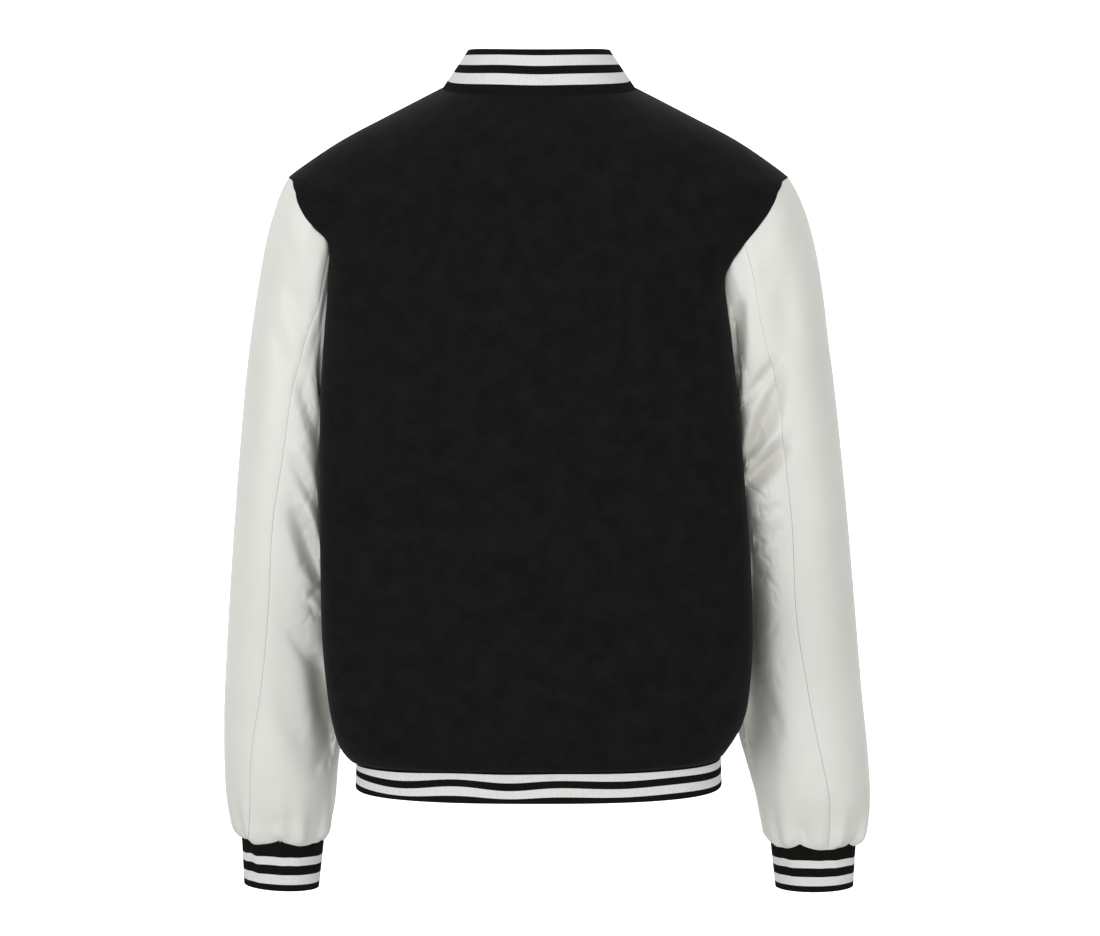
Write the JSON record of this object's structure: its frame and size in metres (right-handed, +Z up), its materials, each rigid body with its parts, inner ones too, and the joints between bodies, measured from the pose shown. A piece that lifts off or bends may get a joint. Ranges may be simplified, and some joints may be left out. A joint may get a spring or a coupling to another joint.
{
  "type": "varsity jacket",
  "caption": "Black wool varsity jacket with off-white sleeves, striped rib collar, cuffs and hem, and a snap front, filled out as worn",
  "frame": {"origin": "middle of the neck opening, level with the points where the shoulders meet the collar", "axes": "+Z up towards the collar, +Y out of the back of the jacket, +X to the wearer's left"},
  "size_m": [0.6276, 0.2583, 0.8055],
  "materials": {
    "wool": "matte felted wool",
    "rib": "matte rib knit with white stripes",
    "hide": "soft satin grain",
    "snap": "satin black enamel"
  },
  "bodies": {
    "root": {"back": "wool", "front_left": "wool", "front_right": "wool", "front_band": "wool", "sleeve_left_top": "hide", "sleeve_left_under": "hide", "sleeve_right_top": "hide", "sleeve_right_under": "hide", "collar_rib": "rib", "hem_rib": "rib", "cuff_left": "rib", "cuff_right": "rib", "snap_1": "snap", "snap_2": "snap", "snap_3": "snap", "snap_4": "snap", "snap_5": "snap", "snap_6": "snap", "snap_7": "snap"}
  },
  "joints": []
}
